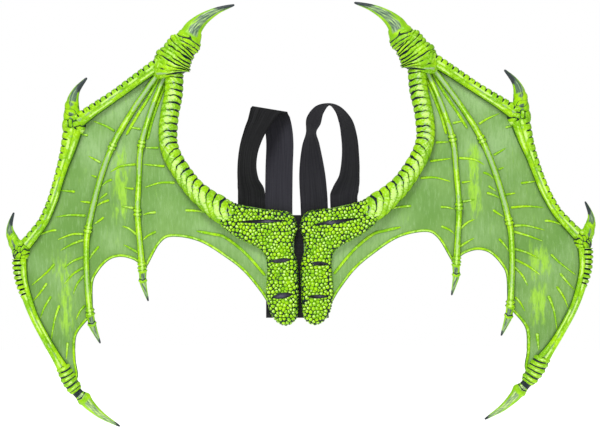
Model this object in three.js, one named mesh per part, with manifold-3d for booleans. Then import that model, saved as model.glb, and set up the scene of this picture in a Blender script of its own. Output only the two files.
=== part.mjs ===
// A pair of costume wings in moulded foam: a scaled root plate, a ribbed arm, clawed fingers
// and a thin skin on each side, with slits that take the webbing of an elastic shoulder harness.
// Millimetres, +Z up, as worn: the sculpted front faces -Y and the wearer's back is at +Y.
import * as THREE from "three";
import { mergeVertices } from "three/addons/utils/BufferGeometryUtils.js";
import Module from "manifold-3d";

const wasm = await Module();
wasm.setup();

// Each wing is drawn in its own plane: across (away from the middle), up, and out (to the front).
const clearance = 0.3; // kept between pieces that touch
const skinThickness = 2.6;
const limbBack = skinThickness + clearance; // where the sculpted pieces lie on the skin
const plateFront = 13; // front face of the scaled root plate
const plateRound = 5.5; // how far the plate's rim rolls over
const hingeAcross = 6.5; // fold line of each wing, from the middle
const rightWingTilt = THREE.MathUtils.degToRad(2.2);
const tiltHeight = 30; // the right wing is turned about this height on the middle line
const rightFingerBow = 12; // how far the right wing's leading finger lies bent outwards
const bowMiddle = -50; // height where it is bent most
const bowReach = 210; // and how far above and below it is straight again
const bowStart = 320; // nothing nearer the middle than this is bent
const bowFull = 355;

const webbingWidth = 40;
const webbingThickness = 1.6;
const webbingOut = -clearance - webbingThickness / 2; // middle of the webbing behind the skin
const strapFoot = 86; // height of the line where the shoulder loops swing
const strapEndLow = 56;
const swingRoom = 1.2; // free webbing below the swing line, so that the loop's foot can turn
const foldRoom = 3; // how far outside the fold line the webbing behind the wing begins
const tabDepth = 3.5; // how far the slits' webbing lies below the plate's front
const legPlaces = { left: [29.5, 69.2], right: [24.5, 68] }; // middles of each loop's legs

const panelHalfWidth = 48;
const panelTop = 77;
const panelBottom = -73;
const panelThickness = 1.5;
const panelFront = -2 * clearance - webbingThickness;
const tackWidth = 3;
const tackHeight = 0.9;
const tackLength = 30;

const lime = { color: 0x8fd417, roughness: 0.62 };
const skinGreen = { color: 0x86bf5c, roughness: 0.7 };
const clawGreen = { color: 0x7fbf1c, roughness: 0.5 };
const elasticBlack = { color: 0x232325, roughness: 0.9 };
const threadBlack = { color: 0x121214, roughness: 0.8 };

// ---- from three.js geometry to a solid and back -------------------------------------------

function solidOf(geometry) {
  const bare = geometry.index ? geometry.toNonIndexed() : geometry.clone();
  for (const name of Object.keys(bare.attributes)) {
    if (name !== "position") bare.deleteAttribute(name);
  }
  const merged = mergeVertices(bare, 1e-4);
  const mesh = new wasm.Mesh({
    numProp: 3,
    vertProperties: new Float32Array(merged.attributes.position.array),
    triVerts: new Uint32Array(merged.index.array),
  });
  return new wasm.Manifold(mesh);
}

function largestBody(solid) {
  return solid.decompose().reduce((best, body) => (body.volume() > best.volume() ? body : best));
}

function geometryOf(solid) {
  const mesh = solid.getMesh();
  const geometry = new THREE.BufferGeometry();
  geometry.setAttribute("position", new THREE.BufferAttribute(mesh.vertProperties, 3));
  geometry.setIndex(new THREE.BufferAttribute(mesh.triVerts, 1));
  const faceted = geometry.toNonIndexed();
  faceted.computeVertexNormals();
  return faceted;
}

function without(solid, ...cutters) {
  return largestBody(cutters.reduce((left, cutter) => left.subtract(cutter), solid));
}

// ---- outlines and slabs -----------------------------------------------------------------------

const toPoints = (pairs) => pairs.map(([across, up]) => new THREE.Vector2(across, up));

// A closed outline: each run is smooth in itself, and runs meet at corners.
function outlineOf(runs) {
  const points = runs.flatMap(({ through, pieces }) => {
    const line = new THREE.SplineCurve(toPoints(through)).getSpacedPoints(pieces);
    return line.slice(0, -1);
  });
  return new THREE.Shape(points);
}

function slab(shape, low, high) {
  const geometry = new THREE.ExtrudeGeometry(shape, { depth: high - low, bevelEnabled: false });
  return solidOf(geometry.translate(0, 0, low));
}

// A slab whose whole rim is rolled over, as thick as the two rolls together.
function pillow(shape, low, high, round) {
  const half = (high - low) / 2;
  const geometry = new THREE.ExtrudeGeometry(shape, {
    depth: 0.2,
    bevelThickness: half - 0.1,
    bevelSize: round,
    bevelOffset: -round,
    bevelSegments: 3,
  });
  return solidOf(geometry.translate(0, 0, low + half - 0.1));
}

// ---- limbs: a section swept along a line on the wing, widening and narrowing --------------------

// stations: [across, up, width]. The section is a dome of height width * rise above its back,
// and of depth width * belly below it.
function limb(stations, { rise, belly = 0, back = limbBack, steps = 14, sides = 12, grow = 0 }) {
  const line = new THREE.SplineCurve(toPoints(stations));
  const last = stations.length - 1;
  const widthAt = (t) => {
    const at = t * last;
    const first = Math.min(Math.floor(at), last - 1);
    return THREE.MathUtils.lerp(stations[first][2], stations[first + 1][2], at - first);
  };
  const tube = new THREE.CylinderGeometry(1, 1, 1, sides, steps);
  const place = tube.attributes.position;
  for (let i = 0; i < place.count; i++) {
    const t = THREE.MathUtils.clamp(place.getY(i) + 0.5, 0, 1);
    const middle = line.getPoint(t);
    const along = line.getTangent(t);
    const width = widthAt(t);
    const sideways = place.getX(i) * (width / 2 + grow);
    const dome = place.getZ(i);
    const reach = dome > 0 ? width * rise + grow : width * belly + grow;
    const stretch = t <= 0 ? -grow : t >= 1 ? grow : 0;
    const across = middle.x + along.y * sideways + along.x * stretch;
    const up = middle.y - along.x * sideways + along.y * stretch;
    place.setXYZ(i, across, up, back + dome * reach);
  }
  return outward(solidOf(tube));
}

// A dome or ball on the wing, wider one way than the other.
function knob({ at, width, length, turn = 0, rise, belly = 0, back = limbBack, grow = 0 }) {
  const ball = new THREE.SphereGeometry(1, 12, 8);
  const place = ball.attributes.position;
  for (let i = 0; i < place.count; i++) {
    const dome = place.getY(i);
    const reach = dome > 0 ? rise + grow : belly + grow;
    const x = place.getX(i) * (width / 2 + grow);
    const y = place.getZ(i) * (length / 2 + grow);
    const across = at[0] + x * Math.cos(turn) - y * Math.sin(turn);
    const up = at[1] + x * Math.sin(turn) + y * Math.cos(turn);
    place.setXYZ(i, across, up, back + dome * reach);
  }
  return outward(solidOf(ball));
}

// Swapping two axes turns a mapped shape inside out, so a negative one is turned back.
function outward(solid) {
  if (solid.volume() > 0) return solid;
  const mesh = solid.getMesh();
  const turned = Uint32Array.from(mesh.triVerts);
  for (let i = 0; i < turned.length; i += 3) {
    [turned[i + 1], turned[i + 2]] = [turned[i + 2], turned[i + 1]];
  }
  return new wasm.Manifold(
    new wasm.Mesh({ numProp: 3, vertProperties: mesh.vertProperties, triVerts: turned }),
  );
}

// ---- the sculpted pieces of one wing --------------------------------------------------------------

const round = { rise: 0.5, belly: 0.12, back: 4.6 };

const upperArmLine = [
  [182.5, 277.6, 25], [183.8, 251.6, 25], [188.6, 227.5, 25.3], [191.5, 203.2, 26],
  [191, 182, 25], [185, 162.5, 25], [173.7, 143, 25], [154.2, 116.6, 26.5],
  [132.6, 97.2, 31], [117, 86, 36],
];
const upperArm = (grow = 0) => limb(upperArmLine, { rise: 0.56, steps: 26, grow });

const wristLine = [
  [182, 278.5, 33], [181, 290, 46], [178, 302, 51], [171, 316, 42], [163, 329, 38],
];
const wrist = (grow = 0) => limb(wristLine, { rise: 0.4, steps: 10, grow });

const wristClawLine = [
  [163, 328, 39], [152.5, 350, 26], [139, 363, 18], [118, 375, 10], [93.7, 383, 2.4],
];
const wristClaw = (grow = 0) => limb(wristClawLine, { ...round, rise: 0.42, steps: 12, grow });

const leadingBoneOneLine = [
  [196, 302, 20], [229, 279, 17.5], [267.9, 250.9, 16], [300, 229, 18], [322, 213, 22],
];
const leadingBoneOne = (grow = 0) => limb(leadingBoneOneLine, { rise: 0.62, steps: 12, grow });

const knuckleOne = (grow = 0) =>
  knob({ at: [327.3, 208], width: 33, length: 37, turn: 0.3, rise: 16, grow });
const knuckleOneClawLine = [[329.6, 214, 27], [330, 238, 20], [324, 258, 11], [308.4, 277, 2.4]];
const knuckleOneClaw = (grow = 0) => limb(knuckleOneClawLine, { ...round, steps: 10, grow });

const leadingBoneTwoLine = [
  [328, 203, 28], [332, 187, 26], [336, 171.6, 22], [343, 149.8, 17], [349.5, 128, 15],
  [358.2, 98.9, 15], [370.6, 69.8, 15], [383, 52, 16], [398, 33, 18],
];
const leadingBoneTwo = () => limb(leadingBoneTwoLine, { rise: 0.58, steps: 16 });

const knuckleTwo = (grow = 0) =>
  knob({ at: [404.5, 24.5], width: 25, length: 32, turn: 0.25, rise: 14, grow });
const knuckleTwoClawLine = [[409.5, 28, 21], [418.6, 47, 14.5], [420.5, 62, 8], [414.8, 81, 2.2]];
const knuckleTwoClaw = () => limb(knuckleTwoClawLine, { ...round, steps: 10 });

const leadingBoneThreeLine = [
  [406, 14, 21], [404, -13, 18], [398, -36, 15], [386, -69.8, 12.5],
  [368.8, -103, 12.5], [353, -130, 14], [343.5, -146, 17.5],
];
const leadingBoneThree = () => limb(leadingBoneThreeLine, { rise: 0.6, steps: 14 });

const lowKnuckleLine = [[341.8, -148.5, 19], [335, -162, 21.5], [325.5, -177, 19]];
const lowKnuckle = (grow = 0) => limb(lowKnuckleLine, { rise: 0.62, steps: 6, grow });
const tipClawLine = [
  [324.6, -178.2, 18.5], [312, -194, 17], [294, -210.5, 11.5], [260.1, -230.6, 2.2],
];
const tipClaw = () => limb(tipClawLine, { ...round, steps: 10 });

const innerFingerLine = [
  [194, 283, 8], [212.8, 236, 8], [229.5, 179.2, 9], [233, 130, 8.5],
  [235, 79, 9], [231.5, 36, 9], [227.6, -7, 11],
];
const innerFinger = () => limb(innerFingerLine, { rise: 0.8, steps: 22, sides: 10 });
const innerClawLine = [[227.4, -7.6, 11], [226.4, -23, 9.5], [219.2, -48.5, 1.8]];
const innerClaw = () => limb(innerClawLine, { ...round, steps: 6, sides: 10 });

const middleFingerLine = [
  [204, 284, 8.5], [242, 229, 8.5], [271.3, 177.7, 9.5], [292, 120, 9],
  [306.9, 56, 9.5], [309.5, 24.4, 9], [308.5, -20, 8.5], [303.5, -70, 10.5],
];
const middleFinger = () => limb(middleFingerLine, { rise: 0.8, steps: 24, sides: 10 });
const middleClawLine = [[303.2, -71, 11], [299.5, -86, 10.5], [289, -110, 1.8]];
const middleClaw = () => limb(middleClawLine, { ...round, steps: 6, sides: 10 });

// ---- root plate, skin and the slits through them ----------------------------------------------------

const plateShape = outlineOf([
  {
    through: [
      [120, 68], [113, 84], [103, 98], [85.2, 92.4], [63, 87.4], [40.7, 85], [19, 83], [9, 77.5],
      [4.4, 68.7], [2, 56.7], [5.8, 44.9], [8, 27.1], [3, 12], [0.7, -5.5], [0.5, -28],
      [0.5, -50], [2, -70], [8, -79.9], [19.9, -84.5], [31.9, -79.5], [41.5, -67],
      [46.5, -50], [48.3, -35.2], [47, -5.5], [48.4, 14], [56, 26], [70.4, 34],
      [92.7, 44.9], [108, 56], [120, 68],
    ],
    pieces: 84,
  },
]);

const skinShape = outlineOf([
  { through: [[8.5, 76], [40.7, 83.5], [85.2, 91], [112, 88]], pieces: 8 },
  { through: [[112, 88], [154.2, 116.6], [188, 168], [188.6, 227.5], [182.5, 278], [183, 300]], pieces: 16 },
  { through: [[183, 300], [204, 296.5], [267.9, 250.9], [324, 212]], pieces: 8 },
  { through: [[324, 212], [339, 162.9], [356, 104], [384.5, 48.4], [402, 25]], pieces: 12 },
  { through: [[402, 25], [402.5, -13], [384, -69.8], [352, -130], [333, -168]], pieces: 12 },
  { through: [[333, -168], [324, -158], [327.5, -131.5], [326, -98], [309, -74], [302, -66]], pieces: 12 },
  { through: [[302, -66], [302.4, -24], [294.4, -4.5], [279.1, 12.2], [262.4, 18], [245.7, 15.5], [233.2, 8.5], [228, -4]], pieces: 16 },
  { through: [[228, -4], [221.5, 6], [203.9, 37.2], [184.4, 47.4], [144, 40], [103, 15.1], [77.8, -5.5], [55.6, -32.3], [44, -50]], pieces: 22 },
  { through: [[44, -50], [36, -70], [20, -79], [9.5, -74]], pieces: 5 },
  { through: [[9.5, -74], [7, 0], [8.5, 76]], pieces: 2 },
]);

// The slits are cut by hand, so each wing has its own: two ends and how tall the mouth opens.
const slits = {
  left: {
    top: { from: [89.5, 66.8], to: [18, 69], open: 4.4 },
    middle: { from: [40.5, 9.2], to: [11.2, 12.8], open: 5.6 },
    low: { from: [39.3, -42.4], to: [8.6, -37.6], open: 7.6 },
  },
  right: {
    top: { from: [88.3, 69], to: [20.8, 61.5], open: 4.4 },
    middle: { from: [42, 4.2], to: [16.6, 6.6], open: 5.4 },
    low: { from: [40.4, -42.6], to: [9.5, -42], open: 4.6 },
  },
};

function slitShape({ from, to, open }, inset = 0) {
  const start = new THREE.Vector2(...from);
  const end = new THREE.Vector2(...to);
  const along = end.clone().sub(start).normalize();
  const upward = new THREE.Vector2(along.y, -along.x);
  start.addScaledVector(along, inset * 2.5);
  end.addScaledVector(along, -inset * 2.5);
  const middle = start.clone().add(end).multiplyScalar(0.5);
  const lip = open - 2 * inset;
  const above = middle.clone().addScaledVector(upward, lip);
  const below = middle.clone().addScaledVector(upward, -lip);
  const shape = new THREE.Shape([start]);
  shape.quadraticCurveTo(above.x, above.y, end.x, end.y);
  shape.quadraticCurveTo(below.x, below.y, start.x, start.y);
  return new THREE.Shape(shape.getPoints(6).slice(0, -1));
}

function rootPlate() {
  const rolled = pillow(plateShape, 0, plateFront, plateRound);
  return rolled.intersect(slab(plateShape, limbBack, plateFront + 5));
}

// ---- webbing ---------------------------------------------------------------------------------------

// A flat band along a line; the width directions at the stations turn the band as it goes.
function band(stations, steps) {
  const line = new THREE.CatmullRomCurve3(
    stations.map(({ at }) => new THREE.Vector3(...at)), false, "centripetal");
  const turns = new THREE.CatmullRomCurve3(
    stations.map(({ wide }) => new THREE.Vector3(...wide)), false, "centripetal");
  const strip = new THREE.BoxGeometry(webbingWidth, 1, webbingThickness, 2, steps, 1);
  const place = strip.attributes.position;
  for (let i = 0; i < place.count; i++) {
    const t = THREE.MathUtils.clamp(place.getY(i) + 0.5, 0, 1);
    const along = line.getTangent(t);
    const wide = turns.getPoint(t);
    wide.addScaledVector(along, -wide.dot(along)).normalize();
    const through = new THREE.Vector3().crossVectors(wide, along);
    const spot = line.getPoint(t);
    spot.addScaledVector(wide, place.getX(i)).addScaledVector(through, place.getZ(i));
    place.setXYZ(i, spot.x, spot.y, spot.z);
  }
  return outward(solidOf(strip));
}

const level = [1, 0, 0];
const foot = strapFoot + clearance;
const shoulderLoops = {
  left: [
    { at: [29.5, foot, webbingOut], wide: level },
    { at: [29.5, 100, webbingOut], wide: level },
    { at: [29, 145, -5], wide: level },
    { at: [28, 185, -10], wide: level },
    { at: [31, 211, -12], wide: [1, 0.02, 0] },
    { at: [37, 225, -8], wide: [1, 0.06, 0] },
    { at: [42.5, 230, 0], wide: [0.99, 0.1, 0] },
    { at: [48.5, 226, 7], wide: [0.98, 0.1, -0.15] },
    { at: [57, 212, 10], wide: [0.88, 0.12, -0.45] },
    { at: [65.5, 195, 10], wide: [0.76, 0.12, -0.62] },
    { at: [73, 172, 8], wide: [0.7, 0.15, -0.7] },
    { at: [75.7, 148, 6], wide: [0.7, 0.05, -0.7] },
    { at: [74, 128, 4], wide: [0.78, -0.03, -0.6] },
    { at: [70, 114, 1], wide: [0.95, -0.06, -0.25] },
    { at: [69.2, 103, webbingOut - 0.3], wide: level },
    { at: [69.2, 95, webbingOut], wide: level },
    { at: [69.2, foot, webbingOut], wide: level },
  ],
  right: [
    { at: [24.5, foot, webbingOut], wide: level },
    { at: [24.5, 98, webbingOut], wide: level },
    { at: [23.5, 130, -2], wide: [0.97, 0, 0.25] },
    { at: [22.9, 156, -3], wide: [0.83, 0, 0.56] },
    { at: [23, 180, -4], wide: [0.6, 0, 0.8] },
    { at: [24.2, 197, -5], wide: [0.35, -0.05, 0.94] },
    { at: [28.5, 214, -5], wide: [0.48, -0.28, 0.83] },
    { at: [38, 230, -5], wide: [0.25, -0.3, 0.92] },
    { at: [52, 237, -5], wide: [0, -0.12, 1] },
    { at: [64, 230, -5], wide: [-0.2, -0.2, 0.96] },
    { at: [75, 212, -5], wide: [-0.5, -0.1, 0.86] },
    { at: [79.4, 190, -5], wide: [-0.6, 0, 0.8] },
    { at: [80.5, 165, -4], wide: [-0.63, 0, 0.77] },
    { at: [77.5, 132, -2], wide: [-0.75, 0, 0.66] },
    { at: [71.5, 114, -1.4], wide: [-0.92, 0, 0.35] },
    { at: [68.4, 103, webbingOut - 0.2], wide: [-1, 0, 0.03] },
    { at: [68, 95, webbingOut], wide: [-1, 0, 0] },
    { at: [68, foot, webbingOut], wide: [-1, 0, 0] },
  ],
};

function box(lowCorner, highCorner) {
  const [low, high] = [new THREE.Vector3(...lowCorner), new THREE.Vector3(...highCorner)];
  const size = high.clone().sub(low);
  const middle = low.add(high).multiplyScalar(0.5);
  const geometry = new THREE.BoxGeometry(size.x, size.y, size.z);
  return solidOf(geometry.translate(middle.x, middle.y, middle.z));
}

// ---- assembling one wing ------------------------------------------------------------------------------

const plateGrown = pillow(plateShape, 0, plateFront, plateRound - clearance).intersect(
  slab(plateShape, 0, plateFront + 5));
const arm = without(upperArm(), plateGrown, wrist(clearance));

const limbPieces = {
  upper_arm: [arm, lime],
  wrist: [wrist(), lime],
  wrist_claw: [without(wristClaw(), wrist(clearance)), clawGreen],
  leading_bone_1: [
    without(leadingBoneOne(), wrist(clearance), knuckleOne(clearance), knuckleOneClaw(clearance)),
    lime,
  ],
  knuckle_1: [knuckleOne(), lime],
  knuckle_1_claw: [without(knuckleOneClaw(), knuckleOne(clearance)), clawGreen],
  leading_bone_2: [without(leadingBoneTwo(), knuckleOne(clearance), knuckleTwo(clearance)), lime],
  knuckle_2: [knuckleTwo(), lime],
  knuckle_2_claw: [without(knuckleTwoClaw(), knuckleTwo(clearance)), clawGreen],
  leading_bone_3: [without(leadingBoneThree(), knuckleTwo(clearance), lowKnuckle(clearance)), lime],
  knuckle_3: [lowKnuckle(), lime],
  tip_claw: [without(tipClaw(), lowKnuckle(clearance)), clawGreen],
  inner_finger: [without(innerFinger(), wrist(clearance), upperArm(clearance)), lime],
  inner_claw: [innerClaw(), clawGreen],
  middle_finger: [
    without(middleFinger(), wrist(clearance), upperArm(clearance), leadingBoneOne(clearance)),
    lime,
  ],
  middle_claw: [middleClaw(), clawGreen],
};

const claws = [wristClaw, knuckleOneClaw, knuckleTwoClaw, tipClaw, innerClaw, middleClaw];
const wholePlate = rootPlate();
const wholeSkin = without(slab(skinShape, 0, skinThickness), ...claws.map((claw) => claw()));

// The plate and the skin with one side's slits, and the webbing tabs that fill them.
function slitPieces(side) {
  const mouths = Object.entries(slits[side]);
  const cutters = mouths.map(([, slit]) => slab(slitShape(slit), -5, plateFront + 5));
  const pieces = {
    root_plate: [without(wholePlate, ...cutters), lime],
    skin: [without(wholeSkin, ...cutters), skinGreen],
  };
  for (const [name, slit] of mouths) {
    const rear = name === "top" ? 0 : webbingOut - webbingThickness / 2;
    const tab = slab(slitShape(slit, clearance), rear, plateFront - tabDepth);
    pieces[name + "_slit_tab"] = [tab, elasticBlack];
  }
  return pieces;
}

// The foam is soft, and one wing's leading finger lies bowed a little way out.
function bowed(geometry) {
  const place = geometry.attributes.position;
  for (let i = 0; i < place.count; i++) {
    const [across, up] = [place.getX(i), place.getY(i)];
    const far = THREE.MathUtils.smoothstep(across, bowStart, bowFull);
    const away = Math.min(Math.abs(up - bowMiddle) / bowReach, 1);
    place.setX(i, across + rightFingerBow * far * Math.cos((away * Math.PI) / 2) ** 2);
  }
  return geometry;
}

function pieceMesh(name, [solid, look]) {
  const mesh = new THREE.Mesh(geometryOf(solid), new THREE.MeshStandardMaterial(look));
  mesh.name = name;
  return mesh;
}

// A line of close stitches across the webbing, sewn down to a low bar with round ends.
function barTack({ at, length, rear }) {
  const shape = new THREE.Shape();
  const [half, radius] = [length / 2 - tackWidth / 2, tackWidth / 2];
  shape.absarc(at[0] + half, at[1], radius, -Math.PI / 2, Math.PI / 2);
  shape.absarc(at[0] - half, at[1], radius, Math.PI / 2, (3 * Math.PI) / 2);
  const outline = new THREE.Shape(shape.getPoints(5).slice(0, -1));
  return slab(outline, rear - clearance - tackHeight, rear - clearance);
}

function webbingOf(side) {
  const pieces = { shoulder_loop: [band(shoulderLoops[side], 44), elasticBlack] };
  legPlaces[side].forEach((middle, index) => {
    const place = ["inner", "outer"][index];
    const half = (webbingWidth - 1) / 2;
    const near = webbingOut - webbingThickness / 2;
    const far = webbingOut + webbingThickness / 2;
    const innerEdge = Math.max(middle - half, hingeAcross + foldRoom);
    pieces[place + "_strap_end"] = [
      box([innerEdge, strapEndLow, near], [middle + half, strapFoot - swingRoom, far]),
      elasticBlack,
    ];
  });
  const tackPlace = [legPlaces[side][1], strapEndLow + 2 * tackWidth];
  pieces.strap_bar_tack = [
    barTack({ at: tackPlace, length: tackLength, rear: webbingOut - webbingThickness / 2 }),
    threadBlack,
  ];
  return pieces;
}

// ---- both wings and the back panel, stood upright ------------------------------------------------------

const wings = new THREE.Group();
wings.rotation.x = Math.PI / 2; // across, up and out become X, Z and -Y

for (const side of ["left", "right"]) {
  const wing = new THREE.Group();
  if (side === "left") {
    wing.scale.x = -1;
  } else {
    wing.rotation.z = rightWingTilt;
    wing.position.set(tiltHeight * Math.sin(rightWingTilt), tiltHeight * (1 - Math.cos(rightWingTilt)), 0);
  }
  const pieces = { ...slitPieces(side), ...limbPieces, ...webbingOf(side) };
  for (const [name, piece] of Object.entries(pieces)) {
    const mesh = pieceMesh(side + "_" + name, piece);
    if (side === "right") bowed(mesh.geometry);
    wing.add(mesh);
  }
  wings.add(wing);
}

const panelRear = panelFront - panelThickness;
const panel = box([-panelHalfWidth, panelBottom, panelRear], [panelHalfWidth, panelTop, panelFront]);
wings.add(pieceMesh("back_panel", [panel, elasticBlack]));

const group = new THREE.Group();
group.position.y = panelRear; // the origin is on the rear face of the back panel
group.add(wings);

export default group;
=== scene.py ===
import math
import bmesh
import bpy
import numpy as np
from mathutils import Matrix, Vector, kdtree


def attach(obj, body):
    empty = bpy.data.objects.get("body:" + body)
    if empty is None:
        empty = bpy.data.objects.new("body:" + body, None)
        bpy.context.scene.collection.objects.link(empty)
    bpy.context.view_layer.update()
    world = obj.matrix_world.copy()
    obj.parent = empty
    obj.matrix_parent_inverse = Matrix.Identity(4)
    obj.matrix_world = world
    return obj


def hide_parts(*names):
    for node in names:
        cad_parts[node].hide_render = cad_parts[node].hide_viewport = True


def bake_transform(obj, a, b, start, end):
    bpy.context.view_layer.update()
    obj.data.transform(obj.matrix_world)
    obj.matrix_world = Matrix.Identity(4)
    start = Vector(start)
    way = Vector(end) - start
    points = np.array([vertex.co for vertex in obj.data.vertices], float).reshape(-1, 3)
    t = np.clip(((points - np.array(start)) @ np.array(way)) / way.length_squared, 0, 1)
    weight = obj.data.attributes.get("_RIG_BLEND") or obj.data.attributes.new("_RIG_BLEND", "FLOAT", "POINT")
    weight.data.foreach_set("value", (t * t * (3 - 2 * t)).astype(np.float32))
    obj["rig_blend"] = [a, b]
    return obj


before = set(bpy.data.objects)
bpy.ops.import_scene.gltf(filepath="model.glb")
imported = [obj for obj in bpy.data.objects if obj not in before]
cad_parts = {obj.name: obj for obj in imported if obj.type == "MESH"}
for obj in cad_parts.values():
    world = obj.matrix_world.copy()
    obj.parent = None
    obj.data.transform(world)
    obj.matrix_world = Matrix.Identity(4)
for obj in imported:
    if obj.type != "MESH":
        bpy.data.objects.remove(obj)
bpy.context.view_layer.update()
print("frame loaded", len(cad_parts), "nodes")

# Lengths are in millimetres on each wing's own plane: across from the middle, up, and out to the front.
wings = {
    "tilt": math.radians(2.2),  # the right wing hangs turned a little about the middle line
    "tiltHeight": 30.0,
    "rear": 3.7,  # the back of the wings in front of the back panel's rear face
    "bow": 12.0,  # the right leading finger is bent outwards this far
    "bowMiddle": -50.0,
    "bowReach": 210.0,
    "bowStart": 320.0,
    "bowFull": 355.0,
    "skin": 2.6,
    "limbBack": 2.9,
    "clawBack": 4.6,
    "foldAcross": 6.5,  # where each wing folds, from the middle and out from the back of the wings
    "foldOut": 6.5,
    "foldMost": math.radians(75),
}


def smooth(value, low, high):
    t = np.clip((value - low) / (high - low), 0.0, 1.0)
    return t * t * (3.0 - 2.0 * t)


def hump(value, middle, width):
    return np.exp(-(((value - middle) / width) ** 2))


def wander(x, y, seed, scale):
    # smooth noise between about -1 and 1, the same on every run
    rng = np.random.default_rng(seed)
    total = 0.0
    for wave in range(6):
        angle = rng.uniform(0, 2 * math.pi)
        pitch = scale * rng.uniform(0.6, 1.7)
        run = x * math.cos(angle) + y * math.sin(angle)
        total = total + np.sin(2 * math.pi * run / pitch + rng.uniform(0, 6.28))
    return total / 3.0


def perItem(index, seed, low=0.0, high=1.0):
    # one random value for each ring, crease or scale
    table = np.random.default_rng(seed).uniform(low, high, 97)
    return table[np.asarray(index).astype(int) % len(table)]


def bulge(part):
    # a rounded swelling from one crease to the next
    return np.sqrt(np.clip(1 - (2 * part - 1) ** 2, 0, 1))


def ringsAlong(flow, pitch, first):
    # the place within a ring, the distance to its nearest crease, and the numbers of the ring and that crease
    ring = flow / pitch
    part = ring - np.floor(ring)
    return part, np.minimum(part, 1 - part) * pitch, np.floor(ring) + first, np.floor(ring + 0.5) + first


def ontoWing(side, points):
    points = np.array(points, float)
    across, up, out = points[:, 0], points[:, 1], points[:, 2]
    if side == "left":
        x, z = -across, up
    else:
        away = np.clip(np.abs(up - wings["bowMiddle"]) / wings["bowReach"], 0, 1)
        bowed = smooth(across, wings["bowStart"], wings["bowFull"]) * np.cos(away * math.pi / 2) ** 2
        across = across + wings["bow"] * bowed
        c, s, h = math.cos(wings["tilt"]), math.sin(wings["tilt"]), wings["tiltHeight"]
        x = c * across - s * up + h * s
        z = s * across + c * up + h * (1 - c)
    return np.stack([x, -out - wings["rear"], z], axis=1) * 0.001


marks = ("groove", "glow", "tip", "along", "side", "tone")


def newSculpt():
    bm = bmesh.new()
    for mark in marks:
        bm.verts.layers.float.new(mark)
    return bm


def setMarks(bm, verts, values):
    for mark, numbers in values.items():
        layer = bm.verts.layers.float[mark]
        for vert, number in zip(verts, np.broadcast_to(numbers, (len(verts),)).tolist()):
            vert[layer] = number


def addGrid(bm, points, values):
    # points: rows x columns x 3; the grid is bent into the shape and its seams and poles are merged
    rows, columns = points.shape[:2]
    made = bmesh.ops.create_grid(bm, x_segments=columns - 1, y_segments=rows - 1, size=1.0)["verts"]
    for vert, place in zip(made, points.reshape(-1, 3).tolist()):
        vert.co = place
    setMarks(bm, made, {mark: np.broadcast_to(v, (rows, columns)).reshape(-1) for mark, v in values.items()})
    bmesh.ops.remove_doubles(bm, verts=made, dist=1e-4)


def hermite(start, end, leaving, arriving, f):
    cube = 2 * start - 2 * end + leaving + arriving
    square = -3 * start + 3 * end - 2 * leaving - arriving
    return cube * f**3 + square * f**2 + leaving * f + start


def lineThrough(stations, spacing):
    # a smooth line through stations of across, up and width, in even steps
    knots = np.array(stations, float)
    last = len(knots) - 1
    fine = np.linspace(0, last, 60 * last + 1)
    first = np.minimum(fine.astype(int), last - 1)
    f = (fine - first)[:, None]
    p0, p1, p2, p3 = [knots[np.clip(first + shift, 0, last), :2] for shift in (-1, 0, 1, 2)]
    v0, v1 = (p2 - p0) / 2, (p3 - p1) / 2
    curve = hermite(p1, p2, v0, v1, f)
    width = np.interp(fine, np.arange(last + 1), knots[:, 2])
    run = np.concatenate([[0], np.cumsum(np.linalg.norm(np.diff(curve, axis=0), axis=1))])
    s = np.linspace(0, run[-1], max(6, round(run[-1] / spacing)) + 1)
    at = np.stack([np.interp(s, run, curve[:, k]) for k in (0, 1)], axis=1)
    tangent = np.gradient(at, s, axis=0)
    tangent /= np.linalg.norm(tangent, axis=1)[:, None]
    return s, at, tangent, np.interp(s, run, width)


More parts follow.
